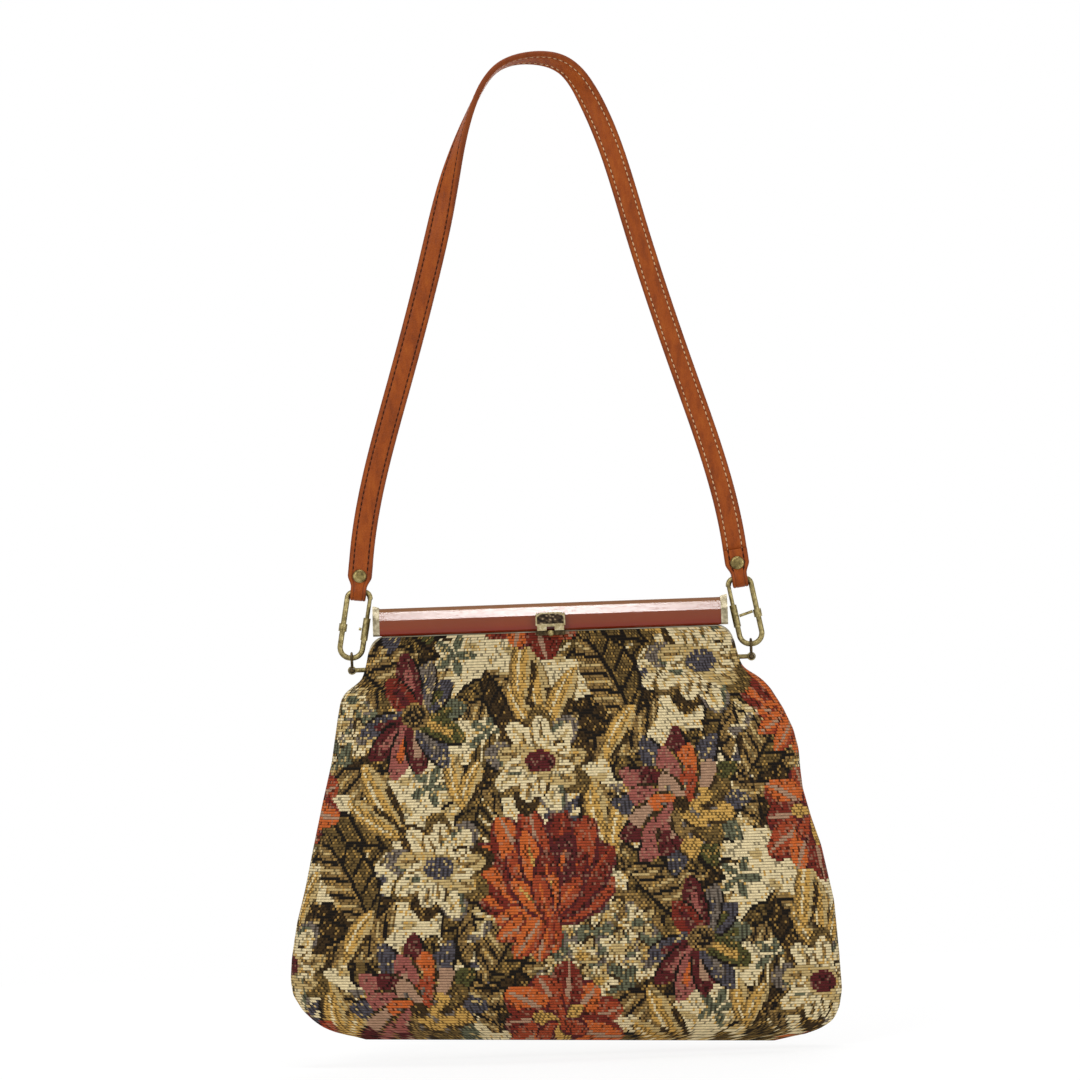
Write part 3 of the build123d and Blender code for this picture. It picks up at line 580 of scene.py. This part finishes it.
class Weave:
    """Cells of the cloth with the number of the thread that shows in each."""

    def __init__(self, x, z):
        self.x, self.z = x, z
        self.thread = np.full(x.shape, NAMES.index("cream"))

    def put(self, mask, name):
        self.thread[mask] = NAMES.index(name)

    def places(self, x, z):
        """A motif's place in every repeat from which it can reach the cloth."""
        (rise_x, rise_z), (fall_x, fall_z) = REPEAT
        for i in range(-2, 3):
            for j in range(-2, 3):
                px, pz = x + i * rise_x + j * fall_x, z + i * rise_z + j * fall_z
                near_x = self.x.min() - REACH < px < self.x.max() + REACH
                near_z = self.z.min() - REACH < pz < self.z.max() + REACH
                if near_x and near_z:
                    yield px, pz

    def petal(self, x, z, angle, length, width, blunt, teeth=0, bend=0.0):
        """Share along the petal, share across it, and whether a cell is inside."""
        turn = math.radians(angle)
        dx, dz = self.x - x, self.z - z
        along = (dx * math.cos(turn) + dz * math.sin(turn)) / length
        across = -dx * math.sin(turn) + dz * math.cos(turn) - bend * length * along * (1 - along)
        shape = np.clip(4 * along * (1 - along), 0, 1) ** blunt
        if teeth:
            shape = shape * (1 + 0.22 * (np.abs((along * teeth) % 1 - 0.5) - 0.25))
        share = across / (width / 2 * np.maximum(shape, 1e-4))
        return along, share, (along > 0) & (along < 1) & (np.abs(share) < 1)

    def leaf(self, x, z, angle, length, width, light, dark, bend):
        along, share, inside = self.petal(x, z, angle, length, width, 0.62, 6, bend)
        self.put(inside, light)
        self.put(inside & (share < 0), dark)
        ribs = np.abs((along * 5.2 - np.abs(share) * 0.9) % 1 - 0.5)
        self.put(inside & (ribs < 0.10) & (np.abs(share) > 0.12), "black")
        self.put(inside & (ribs > 0.40) & (share > 0.2), "straw" if light == "tan" else "cream")
        self.put(inside & (np.abs(share) < 0.075) & (along < 0.92), "black")
        self.put(inside & (share < -0.86), "black")

    def gold_leaf(self, x, z, angle, length, width):
        along, share, inside = self.petal(x, z, angle, length, width, 0.7, 0, 0.1)
        self.put(inside, "gold")
        self.put(inside & (share < -0.25), "straw")
        self.put(inside & (np.abs(share - 0.35) < 0.1) & (along > 0.2), "cream")
        self.put(inside & (np.abs(share) > 0.84), "tan")
        self.put(inside & (share < -0.55) & (along < 0.6), "bark")

    def daisy(self, x, z, size, heart, petals=9, turn=10):
        """Double flower: a ring of long ruffled petals under a ring of short ones."""
        for k in range(petals):
            angle = turn + 360 * k / petals
            along, _, inside = self.petal(x, z, angle, size * 1.14, size * 0.62, 0.45)
            self.put(inside & (along > 0.45), ("bark", "smoke", "olive")[k % 3])
        for tier, reach, wide in ((0, 1.02, 0.54), (1, 0.68, 0.40)):
            for k in range(petals):
                angle = turn + 360 * (k + 0.5 * tier) / petals
                length = size * reach * (0.94 + 0.13 * math.sin(3 * k + 2 * tier))
                along, share, inside = self.petal(x, z, angle, length, size * wide, 0.45, 2)
                self.put(inside, "cream" if (k + tier) % 4 else "straw")
                self.put(inside & (share > 0.60) & (along > 0.35), ("bark", "sage", "tan")[k % 3])
                streak = (np.abs(share + 0.2) < 0.15) & (along > 0.42) & (along < 0.88)
                self.put(inside & streak, "straw" if k % 2 else "tan")
        r = np.hypot((self.x - x) / 1.35, self.z - z)
        self.put(r < size * 0.29, "straw")
        self.put(r < size * 0.23, heart)

    def cluster(self, x, z):
        """A bush of small flowers on a patch of green."""
        _, share, inside = self.petal(x - 30, z - 2, 0, 62, 56, 0.4)
        self.put(inside & (np.abs(share) < 0.95), "sage")
        self.put(inside & (share > 0.35), "tan")
        heads = [(-17, 10), (2, 15), (19, 7), (-10, -9), (8, -6), (23, -14), (-23, -17), (-2, -22)]
        for k, (dx, dz) in enumerate(heads):
            heart = ("straw", "smoke", "sage", "gold")[k % 4]
            self.daisy(x + dx, z + dz, 10.5, heart, petals=5, turn=20 * k)

    def star(self, x, z):
        """Narrow petals of many colours, open to the left, round a checked heart."""
        plan = [
            (8, 27, "sage", "moss"), (42, 26, "slate", "moss"), (72, 29, "smoke", "slate"),
            (98, 33, "wine", "rose"), (124, 24, "brick", "wine"), (196, 30, "slate", "wine"),
            (222, 33, "wine", "rose"), (248, 35, "rose", "orange"), (272, 30, "wine", "blush"),
            (300, 31, "slate", "smoke"), (332, 29, "moss", "gold"),
        ]
        for angle, length, name, streak in plan:
            along, share, inside = self.petal(x, z, angle, length, 13.5, 0.62)
            self.put(inside, name)
            self.put(inside & (np.abs(share) < 0.30) & (along < 0.72), streak)
            self.put(inside & (share < -0.80) & (along > 0.3), "black")
        r = np.hypot(self.x - x, (self.z - z) * 1.1)
        self.put(r < 7.2, "tan")
        self.put((r < 5.6) & ((np.arctan2(self.z - z, self.x - x) * 2.5 % 1) < 0.5), "black")

    def lotus(self, x, z):
        """Three rings of petals, each with its length, its width and the petals' angles and threads."""
        rings = [
            (36, 15, [
                (-62, "moss"), (-30, "sage"), (2, "slate"), (34, "moss"), (62, "slate"), (92, "wine"),
                (118, "slate"), (148, "rose"), (176, "slate"), (206, "wine"), (232, "rose"), (262, "slate"),
            ]),
            (28, 15, [
                (-80, "gold"), (-44, "olive"), (-12, "gold"), (22, "olive"), (50, "blush"), (80, "orange"),
                (106, "rose"), (136, "wine"), (164, "rose"), (194, "blush"), (222, "rose"), (248, "wine"),
            ]),
            (17, 12, [
                (20, "gold"), (70, "rust"), (120, "blush"), (170, "orange"), (220, "rose"), (270, "tan"),
                (320, "gold"),
            ]),
        ]
        for length, width, plan in rings:
            for angle, name in plan:
                taller = 1.12 if 60 < angle < 130 else 1.0
                streak = "blush" if name in ("rose", "wine") else "smoke"
                along, share, inside = self.petal(x, z, angle, length * taller, width, 0.6)
                self.put(inside, name)
                self.put(inside & (share < -0.72) & (along > 0.3), "black" if length > 30 else "bark")
                self.put(inside & (np.abs(share - 0.2) < 0.16) & (along < 0.65), streak)
        self.put(np.hypot(self.x - x, self.z - z) < 4.5, "bark")

    def peony(self, x, z):
        """Upright bloom: tall petals from a low base, darker ones in its cup, pointed ones hanging below."""
        base = z - 25
        tall = [
            (28, 40, 22, "rust"), (152, 42, 22, "orange"), (46, 50, 24, "brick"), (134, 52, 24, "orange"),
            (64, 56, 24, "rust"), (114, 57, 24, "orange"), (80, 57, 20, "brick"), (98, 58, 20, "rust"),
        ]
        cup = [
            (60, 38, 16, "brick"), (120, 38, 16, "rust"), (74, 44, 15, "wine"), (104, 45, 15, "orange"),
            (90, 34, 15, "brick"), (48, 26, 13, "rust"), (134, 26, 13, "orange"), (82, 22, 11, "orange"),
            (104, 22, 11, "rust"),
        ]
        low = [(190, 27, 13), (280, 22, 12), (210, 30, 13), (260, 27, 13), (235, 30, 13)]
        for k, (angle, length, width, name) in enumerate(tall):
            along, share, inside = self.petal(x, base, angle, length, width, 0.5, 3)
            self.put(inside, name)
            self.put(inside & (share > 0.60), "brick" if name != "brick" else "wine")
            self.put(inside & (share < -0.80), "wine")
            self.put(inside & (np.abs(share + 0.15) < 0.1) & (along > 0.4), "blush" if k % 2 else "rust")
        for angle, length, width in low:
            _, share, inside = self.petal(x, base + 4, angle, length, width, 0.75)
            self.put(inside, "orange")
            self.put(inside & (share > 0.45), "rust")
            self.put(inside & (np.abs(share) < 0.12), "blush")
            self.put(inside & (np.abs(share) > 0.86), "brick")
        for angle, length, width, name in cup:
            streak = "gold" if name == "orange" else "orange"
            along, share, inside = self.petal(x + 1, base + 1, angle, length, width, 0.5)
            self.put(inside, name)
            self.put(inside & (np.abs(share) > 0.74), "wine")
            self.put(inside & (np.abs(share) < 0.13) & (along < 0.8), streak)

    def rust_bloom(self, x, z):
        """Round bloom: a ring of long and short petals under six small ones."""
        for k in range(11):
            _, share, inside = self.petal(x, z, 15 + k * 33, 33 - 5 * (k % 2), 19, 0.5, 3)
            self.put(inside, ("rust", "orange", "brick")[k % 3])
            self.put(inside & (share > 0.55), "wine" if k % 2 else "brick")
            self.put(inside & (np.abs(share + 0.2) < 0.14), "blush")
        for k in range(6):
            _, share, inside = self.petal(x, z, 40 + 60 * k, 15, 11, 0.5)
            self.put(inside, "rust" if k % 2 else "gold")
            self.put(inside & (np.abs(share) > 0.7), "wine")

    def draw(self):
        """The whole pattern, from the ground up; a row gives a place, an angle, a length and a width."""
        grain = np.sin(self.x * 0.31 + 1.7 * np.sin(self.z * 0.17)) + np.sin(self.z * 0.43 + self.x * 0.07)
        self.put(grain > 1.45, "straw")
        under = [
            (-48, 12, 200, 40, 24), (-28, -78, 150, 46, 26), (30, -40, -60, 46, 26), (104, -88, 100, 44, 26),
            (-104, -66, 60, 40, 22), (-30, -112, 230, 44, 26), (2, -150, 200, 46, 26), (92, -22, -70, 44, 26),
            (58, -104, 40, 44, 24), (-92, -146, 150, 46, 26), (44, -168, 150, 42, 24),
            (-112, -12, 250, 44, 24), (22, 6, 30, 40, 24), (108, -158, 60, 44, 24), (-64, -136, 250, 40, 24),
        ]
        for k, (x, z, angle, length, width) in enumerate(under):
            light, dark = (("tan", "bark"), ("straw", "tan"), ("olive", "olive"))[k % 3]
            for px, pz in self.places(x, z):
                self.leaf(px, pz, angle, length, width, light, dark, 0.25 * (-1) ** k)
        small_flowers = [
            (-34, -34), (38, -66), (-36, -150), (92, -112), (-98, -100), (4, -76), (-64, -60), (100, -40),
            (40, -12),
        ]
        for k, (x, z) in enumerate(small_flowers):
            for px, pz in self.places(x, z):
                for turn in range(0, 360, 72):
                    _, share, inside = self.petal(px, pz, turn + 23 * k, 11.5, 7.5, 0.5)
                    self.put(inside, ("sage", "smoke", "slate")[k % 3])
                    self.put(inside & (np.abs(share) > 0.62), "cream")
        leaves = [
            (-68, -30, 150, 52, 30), (-66, 8, 172, 46, 22), (-82, -52, 168, 54, 28), (-84, -92, 176, 54, 30),
            (-84, -118, 208, 56, 30), (40, -30, 118, 52, 28), (60, -20, 20, 50, 28), (36, -108, -42, 52, 30),
            (-44, -140, -40, 50, 26), (-38, -66, -100, 44, 22), (16, -60, -72, 48, 26), (98, -60, 62, 42, 24),
            (96, -176, 24, 46, 26), (-20, -12, 200, 34, 20), (108, -120, -64, 40, 22),
        ]
        for k, (x, z, angle, length, width) in enumerate(leaves):
            light, dark = "tan" if k % 3 else "olive", "olive" if k % 2 else "bark"
            for px, pz in self.places(x, z):
                self.leaf(px, pz, angle, length, width, light, dark, 0.2 * (-1) ** k)
        for x, z, angle, length, width in (
            (-78, -86, 118, 44, 15), (-78, -86, 146, 36, 13), (-4, -38, 96, 42, 14), (-4, -38, 66, 40, 13),
            (-4, -38, 124, 34, 12), (28, -100, 104, 44, 15), (28, -100, 76, 38, 13), (-48, -72, 100, 28, 11),
            (-48, -72, 68, 26, 11), (52, -166, 70, 34, 13), (52, -166, 102, 32, 12), (126, -140, 84, 40, 14),
            (-112, -150, 60, 32, 12),
        ):
            for px, pz in self.places(x, z):
                self.gold_leaf(px, pz, angle, length, width)
        for x, z, painter in (
            (19.9, -140.0, self.cluster), (-2.3, -184.0, self.rust_bloom), (63.4, -74.0, self.lotus),
            (71.2, -142.3, self.star), (-7.3, -104.0, self.peony),
        ):
            for px, pz in self.places(x, z):
                painter(px, pz)
        for x, z, size, heart in ((-7.8, -49.5, 25, "wine"), (-61.1, -101.6, 25, "slate")):
            for px, pz in self.places(x, z):
                self.daisy(px, pz, size, heart)


def thread_colours(weave, seed):
    """Linear colour of each cell: flecks of crossing threads differ between the kinds of thread."""
    chance = np.random.default_rng(seed)
    table = np.array([linear(*THREADS[name])[:3] for name in NAMES])
    gold, blush, straw = (table[NAMES.index(name)] for name in ("gold", "blush", "straw"))
    colour = table[weave.thread].copy()
    pick = chance.random(weave.thread.shape)
    row, column = np.indices(weave.thread.shape)

    def shows(*names):
        return np.isin(weave.thread, [NAMES.index(name) for name in names])

    earthy = shows("tan", "olive", "bark", "gold", "moss")
    checker = (row + column) % 2 == 0
    colour[earthy & checker & (pick < 0.56)] *= 0.30
    peek = earthy & ~checker & (pick < 0.26)
    colour[peek] = colour[peek] * 0.5 + gold * 0.5
    rusty = shows("rust", "orange", "brick", "rose", "wine")
    colour[rusty & (pick < 0.10)] *= 0.22
    rubbed = rusty & (pick > 0.86)
    colour[rubbed] = colour[rubbed] * 0.6 + blush * 0.4
    cool = shows("slate", "sage", "smoke")
    colour[cool & (column % 2 == 0) & (pick < 0.6)] *= 0.36
    colour[cool & (pick > 0.9)] = straw
    pale = shows("cream", "straw")
    colour[pale & (pick < 0.13)] *= 0.34
    colour[pale & (pick > 0.93)] = gold
    colour *= (0.86 + 0.26 * chance.random(weave.thread.shape))[..., None]
    return np.clip(colour, 0, 1)


# Pouch: a front and a back panel that meet along the sides and the hem, each hung from its rail. The
# tables give a height from the hinge line and a value there, in millimetres; FULLNESS gives the power of
# the section's curve, which is a box when high and an oval at 2
LEFT_EDGE = [
    (16.3, -87.0), (14.5, -90.3), (11.0, -93.1), (8.0, -94.2), (4.0, -94.9), (1.0, -95.8), (-3.0, -97.0),
    (-6.0, -98.8), (-9.0, -103.6), (-12.0, -107.2), (-16.0, -109.2), (-23.6, -110.8), (-47.0, -114.9),
    (-66.4, -120.0), (-88.8, -125.5), (-111.8, -130.9), (-128.6, -135.6), (-147.0, -139.0), (-157.7, -139.9),
    (-165.5, -139.0), (-173.9, -134.2), (-180.3, -127.7), (-184.6, -121.0), (-187.6, -111.0),
    (-189.8, -100.0),
]
RIGHT_EDGE = [
    (16.3, 87.0), (14.5, 90.3), (11.0, 93.1), (8.0, 94.2), (4.0, 94.9), (1.0, 95.8), (-3.0, 97.0),
    (-6.0, 98.8), (-9.0, 103.8), (-12.0, 107.8), (-16.6, 111.8), (-27.1, 118.0), (-38.0, 122.8),
    (-48.4, 125.2), (-58.7, 125.7), (-68.6, 126.6), (-83.6, 130.4), (-98.0, 135.0), (-126.6, 140.6),
    (-153.4, 142.3), (-172.5, 143.1), (-181.7, 141.4), (-188.3, 138.0), (-193.0, 130.5), (-196.6, 117.0),
    (-197.8, 102.0),
]
HALF_DEPTH = [
    (17.0, 5.8), (12.0, 6.05), (2.0, 6.7), (-8.5, 8.4), (-24.0, 13.0), (-47.0, 17.8), (-70.0, 21.4),
    (-98.0, 24.0), (-127.0, 25.4), (-153.0, 24.8), (-170.0, 21.5), (-181.0, 16.0), (-187.0, 11.0),
    (-191.5, 6.2), (-194.5, 2.4), (-196.0, 0.4),
]
FULLNESS = [(14.0, 22.0), (3.0, 14.0), (-3.0, 8.0), (-9.0, 4.0), (-24.0, 3.1), (-60.0, 2.5), (-200.0, 2.2)]
TOP, LEFT_HEM, RIGHT_HEM, HEM = LEFT_EDGE[0][0], LEFT_EDGE[-1][0], RIGHT_EDGE[-1][0], HALF_DEPTH[-1][0]
ROWS, COLUMNS = 148, 256
# Steps along a row that its even columns are found from, and the least half depth, at the lining's hem
FINE_STEPS, LEAST_DEPTH = 1601, 0.12
# Lining: its distance inside the panel, the drop of its top edge, the height below which it is raised by
# that distance, the step of its coarser grid, and the distance at the sides as a multiple
LINING_INSET, LINING_DROP, LINING_HEM, LINING_STEP = 1.3, 0.6, -180, 2
SIDE_INSET = 1.4


def table_at(pairs, height):
    pairs = sorted(pairs)
    return np.interp(height, [p[0] for p in pairs], [p[1] for p in pairs])


def eased(pairs, heights):
    """Table values with the corners between straight runs rounded off."""
    return sum(table_at(pairs, heights + shift) for shift in (-1.6, -0.8, 0.0, 0.8, 1.6)) / 5


def panel_points(half, inset=0.0):
    """Panel points in millimetres below and beside the hinge line, in columns spaced evenly round the cloth,
    and how far round each lies from the middle; half is -1 in front."""
    t = np.linspace(0, 1, ROWS + 1)
    left_height, right_height = TOP - t * (TOP - LEFT_HEM), TOP - t * (TOP - RIGHT_HEM)
    left = eased(LEFT_EDGE, left_height) + inset * SIDE_INSET
    right = eased(RIGHT_EDGE, right_height) - inset * SIDE_INSET
    level = TOP - t * (TOP - HEM)
    power = table_at(FULLNESS, level)
    depth = np.maximum(table_at(HALF_DEPTH, level) - inset, LEAST_DEPTH)
    even_steps = np.linspace(-1, 1, FINE_STEPS)
    fine = np.sign(even_steps) * (1 - (1 - np.abs(even_steps)) ** 4)
    s, around = np.zeros((2, ROWS + 1, COLUMNS + 1))
    for r in range(ROWS + 1):
        across = left[r] + (right[r] - left[r]) * (fine + 1) / 2
        out = depth[r] * np.clip(1 - np.abs(fine) ** power[r], 0, 1) ** (1 / power[r])
        arc = travelled(np.stack([across, out], axis=1))
        even = np.linspace(0, arc[-1], COLUMNS + 1)
        s[r] = np.interp(even, arc, fine)
        around[r] = even - np.interp(0, across, arc)
    power, depth = power[:, None], depth[:, None]
    blend = (s + 1) / 2
    x = left[:, None] * (1 - blend) + right[:, None] * blend
    z = left_height[:, None] * (1 - blend) + right_height[:, None] * blend
    bulge = np.clip(1 - np.abs(s) ** power, 0, 1) ** (1 / power)
    # Shallow folds, which fade out towards the sides, the rail and the hem
    from_side, from_end = 1 - np.abs(s), np.minimum(t, 1 - t)[:, None]
    window = np.clip(from_side * 4, 0, 1) * np.clip(from_end * 5, 0, 1)
    phase = 0.0 if half < 0 else 2.1
    folds = (
        0.9 * np.sin(x * 0.047 + z * 0.021 + phase) + 0.6 * np.sin(x * 0.09 - z * 0.055 + 1.3 + phase)
        + 0.35 * np.sin(z * 0.13 + x * 0.03 + phase)
    )
    y = half * (depth * bulge + window * (folds - 0.6))
    if inset:
        z = np.where(z < LINING_HEM, z + inset, z)
    return x, y, z, around


def cloth_piece(name, x, y, z, material, facing):
    """A sheet through a grid of points; facing is -1 when its outer side is towards the front."""
    points = np.stack([x, y, z + HINGE], axis=2).reshape(-1, 3) * mm
    rows, wide = x.shape
    faces = []
    for r in range(rows - 1):
        for c in range(wide - 1):
            a, b = r * wide + c, (r + 1) * wide + c
            faces.append((a, b, b + 1, a + 1) if facing < 0 else (a, a + 1, b + 1, b))
    return mesh_piece(name, points, faces, material)


def make_panel(name, half, material, seed, shift):
    """One panel with the thread colour of each cell; shift moves the pattern sideways."""
    x, y, z, around = panel_points(half)
    panel = cloth_piece(name, x, y, z, material, half)
    middle = (around[:-1, :-1] + around[1:, 1:]) / 2
    middle_z = (z[:-1, :-1] + z[1:, 1:]) / 2
    weave = Weave((middle if half < 0 else -middle) + shift, middle_z)
    weave.draw()
    colour = thread_colours(weave, seed)
    corners = np.concatenate([colour.reshape(-1, 3), np.ones((ROWS * COLUMNS, 1))], axis=1)
    layer = panel.data.color_attributes.new("thread", "FLOAT_COLOR", "CORNER")
    layer.data.foreach_set("color", np.repeat(corners, 4, axis=0).astype(np.float32).ravel())
    uv = panel.data.uv_layers.new(name="weave")
    order = np.array([loop.vertex_index for loop in panel.data.loops])
    row, column = np.divmod(order, COLUMNS + 1)
    uv.data.foreach_set("uv", np.stack([column, row], axis=1).astype(np.float32).ravel())
    return panel


def make_lining(name, half, material):
    grids = panel_points(half, LINING_INSET)[:3]
    x, y, z = (grid[::LINING_STEP, ::LINING_STEP] for grid in grids)
    z[0] -= LINING_DROP
    return cloth_piece(name, x, y, z, material, -half)


def dress(material, *nodes):
    for node in nodes:
        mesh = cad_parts[node].data
        mesh.materials.clear()
        mesh.materials.append(material)


def both(name):
    return "left_" + name, "right_" + name


make_camera()
make_studio()
scene.view_settings.view_transform = "Standard"

leather = leather_finish("strap_leather_look", (84, 32, 3), (137, 62, 9), (162, 84, 24))
dark_thread = thread_finish("brown_thread", (34, 13, 5), (70, 33, 16))
pale_thread = thread_finish("cream_thread", (172, 130, 90), (220, 188, 148))
brass = metal_finish("aged_brass", (66, 56, 30), (132, 118, 76), (186, 172, 122), 0.36)
rivet_brass = metal_finish("rivet_brass", (60, 50, 26), (126, 110, 66), (192, 176, 122), 0.30, grain=420)
bronze = metal_finish("dark_bronze", (30, 24, 14), (62, 50, 30), (108, 92, 62), 0.42)
steel = metal_finish(
    "frame_steel", (104, 92, 68), (160, 150, 124), (206, 200, 184), 0.34, grain=240, streak=(0.2, 1, 1),
)
nickel = metal_finish("pale_nickel", (84, 74, 54), (150, 140, 114), (200, 190, 166), 0.40, grain=300)
tab_metal = tab_finish()
spring_steel = metal_finish("spring_steel", (90, 86, 78), (140, 136, 128), (190, 188, 182), 0.3)
acrylic = acrylic_finish()
tapestry = tapestry_finish()
lining_cloth = lining_finish()

dress(rivet_brass, *both("rivet"))
dress(brass, *both("link"), *both("link_sleeve"), *both("link_collar"))
dress(brass, "right_link_crossbar", "left_crossbar_stub", *both("hinge_pin"), "catch_stud")
dress(bronze, *both("shackle"), *both("shackle_pin"), "catch_plate", "clasp_base", "clasp_hinge_pin")
dress(steel, "front_frame", "back_frame")
dress(acrylic, "top_bar")
dress(nickel, *both("end_cap"))
dress(tab_metal, "clasp_tab")
dress(spring_steel, "clasp_spring")

strap, stitch_rows = make_strap(leather)
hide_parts("strap")
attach(strap, "strap")
stitch_nodes, stitch_sizes = stitch_tree("stitch_rows")
for face, radius, thread in (("outer", 0.00042, dark_thread), ("inner", 0.00034, pale_thread)):
    stitches = make_stitches(
        face + "_stitches", stitch_rows[face], stitch_nodes, stitch_sizes, radius, thread,
    )
    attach(stitches, "strap")

# Each panel and its lining, built in place of the solid cloth and lining, with their placing baked into the
# meshes
for name, half, rail, seed, shift in (
    ("front_panel", -1, "front_frame", 10, 0.0),
    ("back_panel", 1, "back_frame", 12, 70.0),
):
    panel = make_panel(name, half, tapestry, seed, shift)
    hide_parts("tapestry_body")
    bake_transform(panel)
    inside = make_lining(name.replace("panel", "lining"), half, lining_cloth)
    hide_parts("lining")
    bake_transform(inside)
